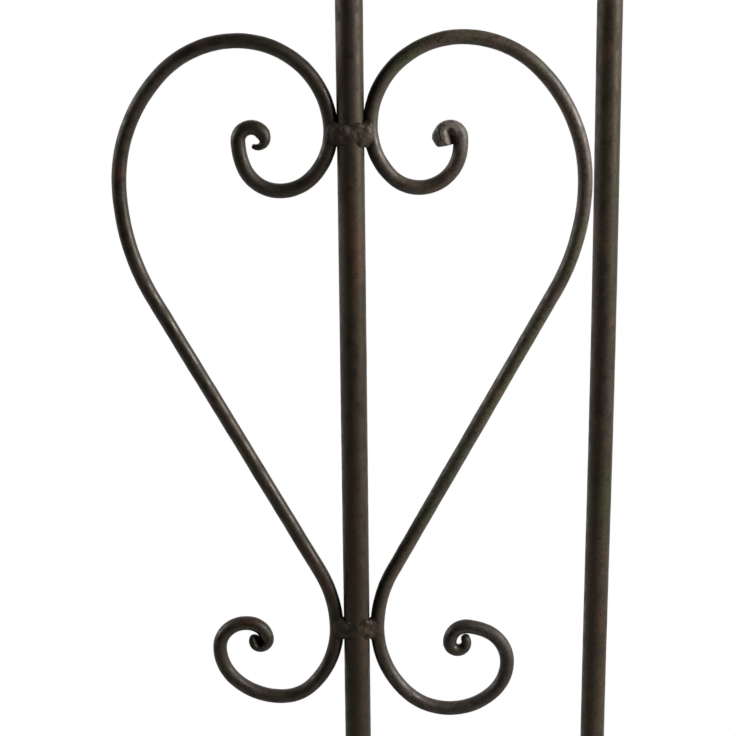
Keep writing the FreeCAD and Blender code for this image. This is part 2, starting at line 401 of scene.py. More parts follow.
def patina(name, shift, rust=0.5, olive=0.5, relief=0.1, satin=0.5, sheen=(1.0, 0.95, 0.88),
           fade=1.0, tall=1.0, spots=()):
    """Brown oxide with darker clouds, red-brown and green-grey patches, flecks, pits and pale specks.

    The amounts of red-brown and green-grey are rust and olive. The depth of the pits is relief, the mean
    roughness is satin, and the tint of the gloss is sheen. The tones are made lighter by fade, and the
    patches taller by tall. A spot is a point, the distances in millimetres at which it is full and gone,
    its strength and its tone.
    """
    if name in bpy.data.materials:
        return bpy.data.materials[name]
    tones = bpy.context.scene.trellis_patina
    iron = Nodes(bpy.data.materials.new(name), "Object")
    clouds = iron.ranged(iron.noise(**CLOUDS, shift=shift, tall=tall), *CLOUD_LEVELS)
    colour = iron.mixed(clouds, fade * Vector(tones.umber), fade * Vector(tones.brown))
    reds = iron.noise(**RUSSET, shift=shift, tall=tall)
    reds = iron.ranged(reds, *patch_levels(rust, RUSSET_FULL, RUSSET_STRENGTH))
    colour = iron.mixed(reds, colour, fade * Vector(tones.russet))
    greens = iron.noise(**OLIVE, tall=tall)
    greens = iron.ranged(greens, *patch_levels(olive, OLIVE_FULL, OLIVE_STRENGTH))
    colour = iron.mixed(greens, colour, fade * Vector(tones.olive))
    # Spots mix painted light, painted shade and rubbed metal into the colour at given places
    for point, near, far, strength, tone in spots:
        spot = iron.ranged(iron.distance(point), near * MM, far * MM, strength, 0.0)
        colour = iron.mixed(spot, colour, iron.mixed(clouds, SPOT_SHADE * Vector(tone), tone))
    flecks = iron.ranged(iron.noise(**FLECKS), *FLECK_LEVELS)
    colour = iron.mixed(flecks, colour, fade * Vector(tones.russet))
    pits = iron.noise(**PITS, shift=shift)
    colour = iron.mixed(iron.ranged(pits, *PIT_LEVELS), colour, tones.umber)
    specks = iron.ranged(iron.noise(**SPECKS), *SPECK_LEVELS)
    colour = iron.mixed(specks, colour, tones.chalk)
    wear = iron.noise(**WEAR, shift=shift)
    roughness = iron.ranged(wear, *WEAR_LEVELS, satin - SMOOTHER, satin + ROUGHER)
    fine = iron.bump(pits, relief, PIT_DEPTH)
    normal = iron.bump(wear, WEAR_RELIEF * relief, WEAR_DEPTH, Normal=fine)
    surface = iron.add("BsdfPrincipled", {
        "Base Color": colour, "Roughness": roughness, "Normal": normal, "Metallic": 0.0, "IOR": 1.5,
        "Specular IOR Level": 0.5, "Specular Tint": (*sheen, 1.0)})
    iron.add("OutputMaterial", {"Surface": surface.outputs["BSDF"]})
    return iron.owner


# The front uprights are darker, redder and shinier than the back ones. Their darker tone is painted shade
# and the back uprights' paler tone is painted light, for how light falls on each row; the red and green
# patches are the iron's own.
TUBE_FINISHES_WITH_PAINTED_LIGHT_AND_SHADE = {
    "front": {"rust": 0.9, "olive": 0.5, "sheen": (1.0, 0.80, 0.62), "fade": 0.82},
    "back": {"rust": 0.6, "olive": 0.75, "sheen": (0.80, 0.68, 0.54), "fade": 1.45},
}

# Middles of the rolled end, paler from rubbing and painted light, and of the lower curl, darker by
# painted shade, in millimetres from the middle of a heart
RUBBED_AND_PAINTED_LIGHT_SPOT = Vector((36.0, -2.0, 109.0))
PAINTED_SHADE_SPOT = Vector((45.0, 0.0, -150.0))


def tube_patina(station):
    row = station.split("_")[0]
    return patina(
        row + "_tube_patina", (0.0, 0.0, 0.0), relief=0.10, satin=0.53, tall=3.0, **TUBE_FINISHES_WITH_PAINTED_LIGHT_AND_SHADE[row])


# The left rods are a darker copy of the rod patina: painted shade for the weaker light on the left of the
# heart
def left_rod_patina_painted_shade():
    return patina(
        "left_rod_patina_painted_shade", (0.7, 0.3, 0.1), rust=1.0, olive=0.8, relief=0.08, satin=0.48,
        sheen=(0.92, 0.85, 0.72), fade=0.72)


def right_rod_patina_painted_light_and_shade(heart, place):
    """Lighter than the left rods, as painted light; palest at the rolled end, from rubbing and painted
    light; and darkest at the lower curl, as painted shade.
    """
    tones = bpy.context.scene.trellis_patina
    # Painted shade: the lower curl is made darker, where less light falls low on the heart
    curl = (place + PAINTED_SHADE_SPOT * MM, 25.0, 75.0, 0.90, tones.brown)
    # Rolled end: rubbed metal and painted light, paler where light from the upper left falls and reflects
    # on its flats
    roll = (place + RUBBED_AND_PAINTED_LIGHT_SPOT * MM, 2.0, 19.0, 0.95, tones.rubbed_and_painted_light)
    return patina(
        heart + "_right_rod_patina_painted_light_and_shade", (1.4, 0.6, 0.3), rust=0.45, olive=1.0, relief=0.08, satin=0.5,
        sheen=(1.0, 0.98, 0.94), fade=2.4, spots=(curl, roll))


def rail_patina():
    return patina("rail_patina", (1.9, 0.8, 0.5), rust=0.6, olive=0.5, relief=0.12, satin=0.52)


def weld_patina():
    return patina(
        "weld_patina", (0.2, 2.4, 1.1), rust=0.9, olive=0.5, relief=0.15, satin=0.64,
        sheen=(1.0, 0.82, 0.66), fade=0.9)


def spike_patina():
    return patina("spike_patina", (2.6, 1.2, 0.9), rust=1.0, olive=0.2, relief=0.20, satin=0.62)


# The line of a scroll, in the plane of its heart: (x, z) in millimetres from the middle of the heart,
# and headings and sweeps in degrees. The roots are its places at the two welds, the lobes the radii of
# the four bends from the upper root to its widest point, and the legs the radii of the bends above and
# below its straight run.
UP, DOWN = 90, 270
LOBE_SWEEP = -45
UPPER_ROOTS = {"left": (8.7, 108.3), "right": (8.7, 110.0)}
LOWER_ROOTS = {"left": (9.45, -127.3), "right": (9.7, -127.3)}
LOBES = {"left": (39.2, 41.0, 46.2, 70.4), "right": (37.6, 40.7, 47.9, 71.8)}
LEGS = {"left": (106.5, 59.7), "right": (101.4, 59.1)}

# A curl is its bends from the weld to the eye, the bends of the eye, and the forging of the eye as
# (share of the eye's length from the tip, share of the rod's thickness, share of its depth).
CURLS = {
    "upper_left": (
        [(29.3, 45), (19.8, 45), (17.1, 70), (35.1, 18.7), (5.874, 151.3)],
        [(5.874, 22), (3.333, 125)],
        [(0.0, 0.36, 0.60), (0.35, 0.52, 0.78), (0.65, 0.75, 0.92), (1.0, 1.0, 1.0)],
    ),
    "upper_right": (
        [(31.7, 45), (17.2, 45), (18.0, 80), (30.2, 14)],
        [(3.75, 182), (30.0, 4.5)],
        [(0.0, 1.62, 1.12), (0.3, 1.56, 1.12), (0.6, 1.28, 1.02), (0.85, 1.06, 1.0), (1.0, 1.0, 1.0)],
    ),
    "lower_left": (
        [(40.5, 45), (20.1, 45), (31.7, 45), (22.9, 45), (12.2, 70), (13.2, 30), (9.207, 70)],
        [(3.3, 112), (2.4, 100)],
        [(0.0, 0.85, 0.85), (0.4, 0.92, 0.92), (0.7, 0.96, 1.0), (1.0, 1.0, 1.0)],
    ),
    "lower_right": (
        [(47.0, 45), (29.3, 45), (28.8, 45), (21.5, 45), (17.6, 72), (42.9, 8), (7.755, 105)],
        [(3.9, 95), (3.9, 95), (30.0, 2.5)],
        [(0.0, 0.66, 0.85), (0.5, 0.86, 0.95), (1.0, 1.0, 1.0)],
    ),
}

# Rolled end of the upper right curl, in millimetres: the corners around it, and the points and normals
# of its hammered sides
ROLL_BOX = ((30.0, -9.0, 98.0), (46.0, 9.0, 116.0))
ROLL_SIDES = (
    ((37.47, -0.5, 108.69), (-0.85, -0.12, 0.51)),
    ((36.63, -0.5, 102.85), (-0.82, -0.15, -0.55)),
    ((35.8, -0.5, 105.0), (-1.0, -0.15, 0.0)),
)

# Seam in the front of the rolled end, in millimetres: the middle and radius of its arc, how far left of
# the middle the arc ends, half its width, and how many times deeper than wide it is
SEAM_MIDDLE = Vector((45.73, -3.7, 107.65))
SEAM_RADIUS = 6.84
SEAM_END = 3.2
SEAM_HALF_WIDTH = 0.2
SEAM_DEPTH = 12

# Hollows pressed into the lower left eye and into the rolled end: their ends and depth in millimetres.
# Then the reach of what is made finer for a hollow, and the half width of its bottom and of its slopes.
HOLLOWS = {
    "left": (Vector((-47.0, -2.5, -129.4)), Vector((-45.6, -2.5, -133.3)), 2.4),
    "right": (Vector((43.1, -3.0, 107.5)), Vector((44.5, -3.0, 103.4)), 1.8),
}
HOLLOW_REACH = 3.0
HOLLOW_BOTTOM = 0.9
HOLLOW_SLOPE = 1.8

# Length of the rounded tips of a scroll, as a share of half their thickness, and rings in an eye for
# each ring of the same length elsewhere
UPPER_TIPS = {"left": 0.8, "right": 0.15}
LOWER_TIP = 0.8
EYE_FINENESS = 1.6

# Smallest ring of a rounded end, as a share of its first, and the slack of a cut by a plane
DOME_END = 0.02
CUT_SLACK = 0.001 * MM


def polar(length, angle):
    return length * cos(radians(angle)), length * sin(radians(angle))


class Move:
    """One bend or straight run of a rod."""

    def __init__(self, start, heading, radius=0.0, sweep=0.0, length=0.0, eye=False):
        self.start, self.heading, self.sweep, self.eye = start, heading, sweep, eye
        self.radius = radius
        if sweep:
            dx, dz = polar(radius, heading + copysign(90, sweep))
            self.centre = (start[0] + dx, start[1] + dz)
            ox, oz = polar(radius, heading - copysign(90, sweep) + sweep)
            self.end = (self.centre[0] + ox, self.centre[1] + oz)
            self.length = radius * radians(abs(sweep))
        else:
            dx, dz = polar(length, heading)
            self.end = (start[0] + dx, start[1] + dz)
            self.length = length
        self.last_heading = heading + sweep

    def point(self, share):
        if not self.sweep:
            return tuple(a + share * (b - a) for a, b in zip(self.start, self.end))
        ox, oz = polar(self.radius, self.heading - copysign(90, self.sweep) + share * self.sweep)
        return self.centre[0] + ox, self.centre[1] + oz

    def turned_round(self):
        return Move(self.end, self.last_heading + 180, self.radius, -self.sweep, self.length, self.eye)

    def mirrored(self):
        start = (-self.start[0], self.start[1])
        return Move(start, 180 - self.heading, self.radius, -self.sweep, self.length, self.eye)


def walk(point, heading, bends, eye=False):
    moves = []
    for radius, sweep in bends:
        moves.append(Move(point, heading, radius, sweep, eye=eye))
        point, heading = moves[-1].end, moves[-1].last_heading
    return moves


def curl_line(root, curl):
    bends, eye, _ = curl
    moves = walk(root, DOWN, bends)
    return moves + walk(moves[-1].end, moves[-1].last_heading, eye, eye=True)


def heart_line(side):
    """From the upper weld over the lobe and down the leg to the lower weld."""
    above, below = LEGS[side]
    root_x, root_z = LOWER_ROOTS[side]
    moves = walk(UPPER_ROOTS[side], UP, [(radius, LOBE_SWEEP) for radius in LOBES[side]])
    widest = moves[-1].end
    dx = root_x + below - (widest[0] - above)
    dz = root_z - widest[1]
    reach = above + below
    slope = degrees(atan2(-dz, dx) - acos(reach / hypot(dx, dz)))
    moves += walk(widest, DOWN, [(above, -slope)])
    leg = Move(moves[-1].end, moves[-1].last_heading, length=sqrt(dx ** 2 + dz ** 2 - reach ** 2))
    return moves + [leg] + walk(leg.end, leg.last_heading, [(below, slope)])


def scroll_line(side):
    """All the moves of one scroll, from the tip of its upper curl to the tip of its lower curl."""
    top = curl_line(UPPER_ROOTS[side], CURLS["upper_" + side])
    moves = [move.turned_round() for move in reversed(top)]
    moves += heart_line(side) + curl_line(LOWER_ROOTS[side], CURLS["lower_" + side])
    return moves if side == "right" else [move.mirrored() for move in moves]


def forged_size(forging, share):
    """Thickness and depth of an eye at a share of its length from the tip."""
    for (s0, t0, d0), (s1, t1, d1) in zip(forging, forging[1:]):
        if share <= s1:
            k = max(0.0, (share - s0) / (s1 - s0))
            return t0 + k * (t1 - t0), d0 + k * (d1 - d0)
    return 1.0, 1.0


def in_row(point):
    return Vector((point[0] * MM, 0.0, point[1] * MM))


def spin_step(move, steps, share):
    """Carries the open ring of the rod along a share of a bend or straight run."""
    if move.sweep:
        bpy.ops.mesh.spin(
            steps=steps, angle=radians(abs(move.sweep) * share), center=in_row(move.centre),
            axis=(0, copysign(1, move.sweep), 0))
    else:
        advance = (in_row(move.end) - in_row(move.start)) * share / steps
        for _ in range(steps):
            bpy.ops.mesh.extrude_region_move(TRANSFORM_OT_translate={"value": advance})


def dome(centre, direction, length, steps=5):
    """Closes the selected ring with a rounded end."""
    for i in range(1, steps + 1):
        before, after = radians(90 * (i - 1) / steps), radians(90 * i / steps)
        advance = direction * length * (sin(after) - sin(before))
        centre = centre + advance
        scale = max(cos(after), DOME_END) / max(cos(before), DOME_END)
        drawn_out(advance, centre, (scale,) * 3)
    bpy.ops.mesh.merge(type="COLLAPSE")


def pick_between(obj, low, high):
    """Selects the faces between two corners, in millimetres."""
    bpy.ops.mesh.select_mode(type="FACE")
    bpy.ops.mesh.select_all(action="DESELECT")
    bpy.ops.object.mode_set(mode="OBJECT")
    for face in obj.data.polygons:
        face.select = all(a < x < b for a, x, b in zip(low, face.center / MM, high))
    bpy.ops.object.mode_set(mode="EDIT")


def trimmed(obj, box, planes):
    """Hammers flats on one part of a mesh."""
    for point, normal in planes:
        pick_between(obj, *box)
        bpy.ops.mesh.bisect(
            plane_co=Vector(point) * MM, plane_no=normal, use_fill=True, clear_outer=True,
            threshold=CUT_SLACK)
    bpy.ops.mesh.select_mode(type="VERT")


def hollowed(obj, start, end, depth):
    """Presses a soft hollow into the front of a mesh, along a line in millimetres."""
    low = [min(a, b) - HOLLOW_REACH for a, b in zip(start, end)]
    high = [max(a, b) + HOLLOW_REACH for a, b in zip(start, end)]
    pick_between(obj, low, high)
    bpy.ops.mesh.subdivide(number_cuts=2)
    bpy.ops.mesh.select_mode(type="VERT")
    bpy.ops.mesh.select_all(action="DESELECT")
    bpy.ops.object.mode_set(mode="OBJECT")
    run = end - start
    for vertex in obj.data.vertices:
        place = vertex.co / MM - start
        share = min(1.0, max(0.0, place.dot(run) / run.length_squared))
        vertex.select = (place - share * run).length < HOLLOW_BOTTOM
    bpy.ops.object.mode_set(mode="EDIT")
    bpy.ops.transform.translate(
        value=(0.0, depth * MM, 0.0), use_proportional_edit=True, proportional_edit_falloff="SMOOTH",
        proportional_size=HOLLOW_SLOPE * MM)


def seam_tool():
    """Left part of a thin deep ring, to cut the seam of a rolled end."""
    deselect()
    bpy.ops.mesh.primitive_torus_add(
        major_segments=96, minor_segments=12, major_radius=SEAM_RADIUS * MM,
        minor_radius=SEAM_HALF_WIDTH * MM, location=SEAM_MIDDLE * MM, rotation=(radians(90), 0, 0))
    tool = bpy.context.object
    settle(tool)
    edit_all()
    bpy.ops.transform.resize(value=(1, SEAM_DEPTH, 1), center_override=SEAM_MIDDLE * MM)
    bpy.ops.mesh.bisect(
        plane_co=(SEAM_MIDDLE.x * MM - SEAM_END * MM, 0, 0), plane_no=(1, 0, 0), use_fill=True,
        clear_outer=True, threshold=CUT_SLACK)
    bpy.ops.object.mode_set(mode="OBJECT")
    return tool


def cut(obj, tool):
    modified(obj, "BOOLEAN", operation="DIFFERENCE", object=tool, solver="MANIFOLD")
    discard(tool)


def forged_scroll(side):
    """One scroll, spun bend by bend from the tip of its upper curl to the tip of its lower curl."""
    sizes = bpy.context.scene.trellis_forging
    rod_r = sizes.rod / 2
    spacing = sizes.ring_spacing / MM
    _, upper_eye, upper_forging = CURLS["upper_" + side]
    _, lower_eye, lower_forging = CURLS["lower_" + side]
    moves = scroll_line(side)
    total = sum(move.length for move in moves)
    upper_length = sum(move.length for move in moves[:len(upper_eye)])
    lower_length = sum(move.length for move in moves[-len(lower_eye):])

    def size_at(travelled):
        if travelled < upper_length:
            return forged_size(upper_forging, travelled / upper_length)
        if total - travelled < lower_length:
            return forged_size(lower_forging, (total - travelled) / lower_length)
        return 1.0, 1.0

    start, heading = moves[0].start, moves[0].heading
    hx, hz = polar(1.0, heading)
    rod = first_ring(
        "scroll_pattern_" + side, sizes.rod_sides, rod_r, in_row(start), rotation=(0, atan2(hx, hz), 0))
    size = size_at(0.0)
    bpy.ops.transform.resize(value=(size[0], size[1], size[0]), center_override=in_row(start))
    travelled = 0.0
    for move in moves:
        if not move.eye:
            spin_step(move, max(2, ceil(move.length / spacing)), 1.0)
            travelled += move.length
            continue
        steps = max(8, ceil(EYE_FINENESS * move.length / spacing))
        for i in range(steps):
            spin_step(move, 1, 1.0 / steps)
            travelled += move.length / steps
            new = size_at(travelled)
            grow = (new[0] / size[0], new[1] / size[1])
            bpy.ops.transform.resize(
                value=(grow[0], grow[1], grow[0]), center_override=in_row(move.point((i + 1) / steps)))
            size = new
    onward = in_row(polar(1 / MM, moves[-1].last_heading))
    dome(in_row(moves[-1].end), onward, LOWER_TIP * size[0] * rod_r)
    bpy.ops.mesh.select_all(action="DESELECT")
    bpy.ops.mesh.select_non_manifold()
    backward = in_row(polar(1 / MM, heading + 180))
    dome(in_row(start), backward, UPPER_TIPS[side] * size_at(0.0)[0] * rod_r)
    if side == "right":
        trimmed(rod, ROLL_BOX, ROLL_SIDES)
    hollowed(rod, *HOLLOWS[side])
    close_edit()
    if side == "right":
        cut(rod, seam_tool())
    return rod


def heart_places():
    """Middle of each heart, by name."""
    rise = bpy.context.scene.trellis_forging.heart_rise
    for row, rail in zip(ROWS, RAILS):
        for side in SIDES:
            axis = middle("front_" + side + "_upright")
            yield row + "_" + side + "_heart", Vector((axis.x, axis.y, middle(rail).z + rise))


class TRELLIS_OT_scrolls(bpy.types.Operator):
    """Forges the left and right scroll once and sets a copy on each side of every heart"""

    bl_idname = "trellis.scrolls"
    bl_label = "Forged scrolls"

    def execute(self, context):
        depth = context.scene.trellis_forging.hammer_depth
        for side in SIDES:
            pattern = forged_scroll(side)
            for heart, place in heart_places():
                node = heart + "_" + side + "_scroll"
                rod = copied(pattern, node + "_forged", place)
                uneven(rod, hammer_blows=depth, hammer_scale=0.35 * depth)
                # Right rods get the lighter copy of the patina as painted light, left rods the darker
                # copy as painted shade
                finish = right_rod_patina_painted_light_and_shade(heart, place) if side == "right" else left_rod_patina_painted_shade()
                hand_over(rod, finish, "scrolls", node)
            discard(pattern)
        return {"FINISHED"}


# Weld metal, as drops and craters of (x, y, z, half sizes) in millimetres from the middle of a heart

HEART_WELDS = [
    (
        [(0.0, -3.6, 107.4, 5.6, 2.8, 6.6), (-7.5, -1.8, 107.5, 3.6, 2.6, 6.8),
         (7.5, -1.5, 107.5, 3.6, 2.5, 7.0),
         (-4.8, -3.2, 107.4, 4.4, 3.3, 5.2), (-2.4, -5.2, 109.2, 2.5, 2.3, 2.6),
         (0.8, -4.6, 107.2, 4.0, 2.0, 4.6), (5.6, -2.5, 107.0, 4.4, 2.7, 5.6),
         (4.0, -3.9, 104.4, 3.6, 1.9, 3.2), (1.8, -5.0, 111.2, 3.4, 1.4, 1.6)],
        [(3.4, -7.3, 107.4, 1.7, 1.8, 2.6), (-6.2, -6.6, 106.6, 0.8, 0.8, 0.8),
         (-5.0, -6.9, 105.4, 0.7, 0.7, 0.6), (-7.2, -6.0, 107.4, 0.6, 0.7, 0.6)],
    ),
    (
        [(0.0, -3.6, -126.0, 5.6, 2.8, 6.2), (-8.0, -1.8, -126.4, 3.6, 2.6, 6.6),
         (8.2, -1.4, -126.8, 3.6, 2.4, 6.6),
         (-5.8, -2.4, -125.8, 4.4, 2.7, 5.0), (-5.0, -4.2, -125.0, 2.2, 1.8, 2.2),
         (-5.4, -4.0, -129.0, 2.4, 1.8, 1.6), (-2.0, -4.7, -127.4, 2.6, 1.8, 1.6),
         (0.2, -4.5, -125.2, 3.6, 2.0, 4.4), (3.2, -4.4, -122.9, 3.0, 1.6, 2.4),
         (6.0, -1.9, -126.4, 4.2, 2.5, 5.0), (4.4, -3.7, -129.0, 3.4, 1.9, 2.6)],
        [(5.4, -6.7, -127.4, 1.6, 1.5, 1.5), (-7.2, -6.2, -127.0, 1.3, 1.3, 1.4),
         (-3.4, -6.8, -126.2, 0.8, 0.9, 0.7)],
    ),
]


def ball(x, y, z, rx, ry, rz):
    deselect()
    bpy.ops.mesh.primitive_ico_sphere_add(subdivisions=4, radius=1.0, location=(x * MM, y * MM, z * MM))
    obj = bpy.context.object
    bpy.ops.transform.resize(value=(rx * MM, ry * MM, rz * MM))
    settle(obj)
    return obj


def run_metal(drops, craters, name, voxel=0.36 * MM):
    """Weld metal that ran together from several drops, with craters where it boiled."""
    metal = joined([ball(*drop) for drop in drops], name)
    modified(metal, "REMESH", mode="VOXEL", voxel_size=voxel)
    if craters:
        cut(metal, joined([ball(*crater) for crater in craters], "weld_crater_tool"))
        modified(metal, "REMESH", mode="VOXEL", voxel_size=voxel)
    modified(metal, "SMOOTH", factor=0.5, iterations=16)
    return metal


class TRELLIS_OT_heart_welds(bpy.types.Operator):
    """Runs weld metal over the front of the uprights where the hearts are fixed"""

    bl_idname = "trellis.heart_welds"
    bl_label = "Heart welds"

    def execute(self, context):
        depth = context.scene.trellis_forging.weld_depth
        runs = [run_metal(drops, craters, "heart_weld_run") for drops, craters in HEART_WELDS]
        pattern = joined(runs, "heart_weld_pattern")
        for heart, place in heart_places():
            node = heart + "_welds"
            metal = copied(pattern, node + "_run", place)
            uneven(metal, weld_runs=depth, weld_spatter=0.22 * depth)
            hand_over(metal, weld_patina(), "welds", node, angle=70)
        discard(pattern)
        return {"FINISHED"}


# Uprights, caps and spikes

TUBE_SIDES = 48
TUBE_RINGS = 240
TUBE_WALL = 1.2 * MM

# Wander of each tube to the side, in millimetres, and the height in metres where it crosses its axis,
# the height of one full wander, and the share of its length over which it sets in at each end
WANDER = {
    "front_left": (0.25, 0.90), "front_right": (0.0, 0.0),
    "back_left": (0.5, 0.60), "back_right": (0.6, 1.275)}
WANDER_HEIGHT = 0.52
WANDER_EASE = 0.2


class TRELLIS_OT_uprights(bpy.types.Operator):
    """Draws the tube of each upright, never quite straight, with the unevenness of its coat"""

    bl_idname = "trellis.uprights"
    bl_label = "Uprights"

    def execute(self, context):
        tube_r = context.scene.trellis_forging.tube / 2
        for station in STATIONS:
            node = station + "_upright"
            low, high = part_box(node)
            axis = (low + high) / 2
            amount, crossing = WANDER[station]
            tube = first_ring(node + "_tube", TUBE_SIDES, tube_r, (axis.x, axis.y, low.z))
            rise = (high.z - low.z) / TUBE_RINGS
            aside = 0.0
            for i in range(1, TUBE_RINGS + 1):
                to_end = min(i, TUBE_RINGS - i) / TUBE_RINGS
                turn = 2 * pi * (low.z + i * rise - crossing) / WANDER_HEIGHT
                bow = min(1.0, to_end / WANDER_EASE) * amount * MM * sin(turn)
                bpy.ops.mesh.extrude_region_move(
                    TRANSFORM_OT_translate={"value": (bow - aside, 0, rise)})
                aside = bow
            close_edit()
            modified(tube, "SOLIDIFY", thickness=TUBE_WALL, offset=-1.0)
            uneven(tube, level=0.1, tube_scale=0.14 * MM)
            hand_over(tube, tube_patina(station), "uprights", node)
        return {"FINISHED"}


# Rings of a cap above its tube, as (rise in millimetres, growth), and how much smaller its first is
CAP_RINGS = ((0.3, 1.09), (0.35, 1.03), (0.5, 1.0), (0.45, 0.985))
CAP_INSET = 0.5 * MM
CAP_STEPS = 10


class TRELLIS_OT_caps(bpy.types.Operator):
    """Closes the top of each upright with a domed cap"""

    bl_idname = "trellis.caps"
    bl_label = "Caps"

    def execute(self, context):
        radius = context.scene.trellis_forging.tube / 2 - CAP_INSET
        up = Vector((0, 0, 1))
        for station in STATIONS:
            place = middle(station + "_upright")
            place.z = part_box(station + "_upright")[1].z
            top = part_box(station + "_cap")[1].z
            cap = first_ring(station + "_cap_dome", TUBE_SIDES, radius, place, fill="NGON")
            for rise, grow in CAP_RINGS:
                place = place + up * rise * MM
                drawn_out(up * rise * MM, place, (grow, grow, 1))
            dome(place, up, top - place.z, CAP_STEPS)
            close_edit()
            uneven(cap, hammer_blows=0.3 * MM, hammer_scale=0.12 * MM)
            hand_over(cap, tube_patina(station), "caps", station + "_cap", angle=60)
        return {"FINISHED"}


# Rings of a spike below the ground line, as (depth, radius) in millimetres, the rings from the last of
# them to the tip, the length of the point, and the directions of its sides
SPIKE_RINGS = [(-6.0, 4.7), (0.0, 4.7), (2.5, 4.55), (5.0, 4.2), (8.0, 4.0)]
SPIKE_SIDES = 32
SPIKE_STEPS = 80
SPIKE_POINT = 34.0
POINT_SIDES = ((1, 0), (0, 1), (-1, 0), (0, -1))
EVERYWHERE = ((-1e4,) * 3, (1e4,) * 3)

# Ring of weld at a foot: radius, half thickness and height of its middle
FOOT_WELD_RADIUS = 5.1 * MM
FOOT_WELD_HALF = 1.0 * MM
FOOT_WELD_HEIGHT = -0.7 * MM


def forged_spike(station):
    """One spike, drawn out from the foot of its upright to a four-sided point."""
    low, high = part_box(station + "_ground_spike")
    axis = (low + high) / 2
    length = -low.z / MM
    neck, radius = SPIKE_RINGS[-1]
    rings = SPIKE_RINGS + [
        (neck + (length - neck) * i / SPIKE_STEPS, radius) for i in range(1, SPIKE_STEPS + 1)]
    start = (axis.x, axis.y, -rings[0][0] * MM)
    spike = first_ring(station + "_spike_forged", SPIKE_SIDES, rings[0][1] * MM, start, fill="NGON")
    for (d0, r0), (d1, r1) in zip(rings, rings[1:]):
        drawn_out((0, 0, (d0 - d1) * MM), (axis.x, axis.y, -d1 * MM), (r1 / r0, r1 / r0, 1))
    bpy.ops.object.mode_set(mode="OBJECT")
    uneven(spike, hammer_blows=0.35 * MM)
    bpy.ops.object.mode_set(mode="EDIT")
    tip = Vector((axis.x, axis.y, low.z)) / MM
    slant = atan2(radius, SPIKE_POINT)
    sides = [(cos(slant) * x, cos(slant) * y, -sin(slant)) for x, y in POINT_SIDES]
    trimmed(spike, EVERYWHERE, [(tip, side) for side in sides])
    close_edit()
    return spike


class TRELLIS_OT_ground_spikes(bpy.types.Operator):
    """Forges a spike with a four-sided point for the foot of each upright, and its ring of weld"""

    bl_idname = "trellis.ground_spikes"
    bl_label = "Ground spikes"

    def execute(self, context):
        welds = []
        for station in STATIONS:
            node = station + "_ground_spike"
            hand_over(forged_spike(station), spike_patina(), "spikes", node, angle=25)
            axis = middle(node)
            deselect()
            bpy.ops.mesh.primitive_torus_add(
                major_segments=64, minor_segments=20, major_radius=FOOT_WELD_RADIUS,
                minor_radius=FOOT_WELD_HALF, location=(axis.x, axis.y, FOOT_WELD_HEIGHT))
            welds.append(bpy.context.object)
            settle(welds[-1])
        metal = joined(welds, "ground_spike_welds_run")
        uneven(metal, weld_runs=0.8 * MM, weld_spatter=0.3 * MM)
        hand_over(metal, weld_patina(), "welds", "ground_spike_welds", angle=70)
        return {"FINISHED"}


# Rails

RAIL_SIDES = 28
RAIL_SPACING = 2 * MM
RAIL_END = 0.25

# Weld metal of a rail at an upright: drops as (place along the rail, its change from one upright to the
# next, half size) in millimetres, their depth into the rail and height from its middle as shares of its
# thickness, and their unevenness in height
RAIL_DROPS = ((-2.2, 0.0, 2.3), (0.3, 0.2, 2.8), (2.4, 0.0, 2.2))
DROP_DEPTH, DROP_HEIGHT = 0.1, 0.46
DROP_SWAY, DROP_TURN = 0.25, 2.1
DROP_FLATNESS = 0.85


def bow_angles():
    """Angle in plan of the front and the back uprights, from the front of the bow."""
    sizes = bpy.context.scene.trellis_forging
    lean = asin(middle("front_right_upright").x / sizes.bow_radius)
    return lean, lean + sizes.end_sweep


def bent_bar():
    """One rail at height 0, spun round the three arcs of the bow from its left to its right end."""
    sizes = bpy.context.scene.trellis_forging
    lean, far = bow_angles()
    inset = (sizes.tube + sizes.rail) / 2
    end_r = sizes.end_radius - inset
    far += sizes.rail_stub / end_r
    centre_x = (sizes.bow_radius - sizes.end_radius) * sin(lean)
    centre_y = sizes.end_radius * cos(lean)
    arcs = (
        (Vector((-centre_x, centre_y, 0)), end_r, far - lean),
        (Vector((0, sizes.bow_radius * cos(lean), 0)), sizes.bow_radius - inset, 2 * lean),
        (Vector((centre_x, centre_y, 0)), end_r, far - lean),
    )
    start = arcs[0][0] + end_r * Vector((-sin(far), -cos(far), 0))
    end = arcs[2][0] + end_r * Vector((sin(far), -cos(far), 0))
    bar = first_ring(
        "rail_pattern", RAIL_SIDES, sizes.rail / 2, start, rotation=(0, radians(90), -far))
    for centre, radius, sweep in arcs:
        bpy.ops.mesh.spin(
            steps=ceil(radius * sweep / RAIL_SPACING), angle=sweep, center=centre, axis=(0, 0, -1))
    dome(end, Vector((cos(far), sin(far), 0)), RAIL_END * sizes.rail)
    bpy.ops.mesh.select_all(action="DESELECT")
    bpy.ops.mesh.select_non_manifold()
    dome(start, Vector((-cos(far), sin(far), 0)), RAIL_END * sizes.rail)
    close_edit()
    return bar


def rail_weld_drops():
    """Drops of weld metal above and below a rail, where it crosses each upright."""
    sizes = bpy.context.scene.trellis_forging
    lean, far = bow_angles()
    drops = []
    for i, station in enumerate(STATIONS):
        axis = middle(station + "_upright") / MM
        turn = (lean if station.startswith("front") else far) * (-1 if station.endswith("left") else 1)
        inward, along = Vector((-sin(turn), cos(turn))), Vector((cos(turn), sin(turn)))
        reach = (sizes.tube / 2 + DROP_DEPTH * sizes.rail) / MM
        for sign in (-1, 1):
            for shift, change, size in RAIL_DROPS:
                shift += change * i
                place = axis.xy + inward * reach + along * shift
                sway = DROP_SWAY * sin(DROP_TURN * i + shift)
                height = sign * (DROP_HEIGHT * sizes.rail / MM + sway)
                drops.append((place.x, place.y, height, size, size, DROP_FLATNESS * size))
    return drops


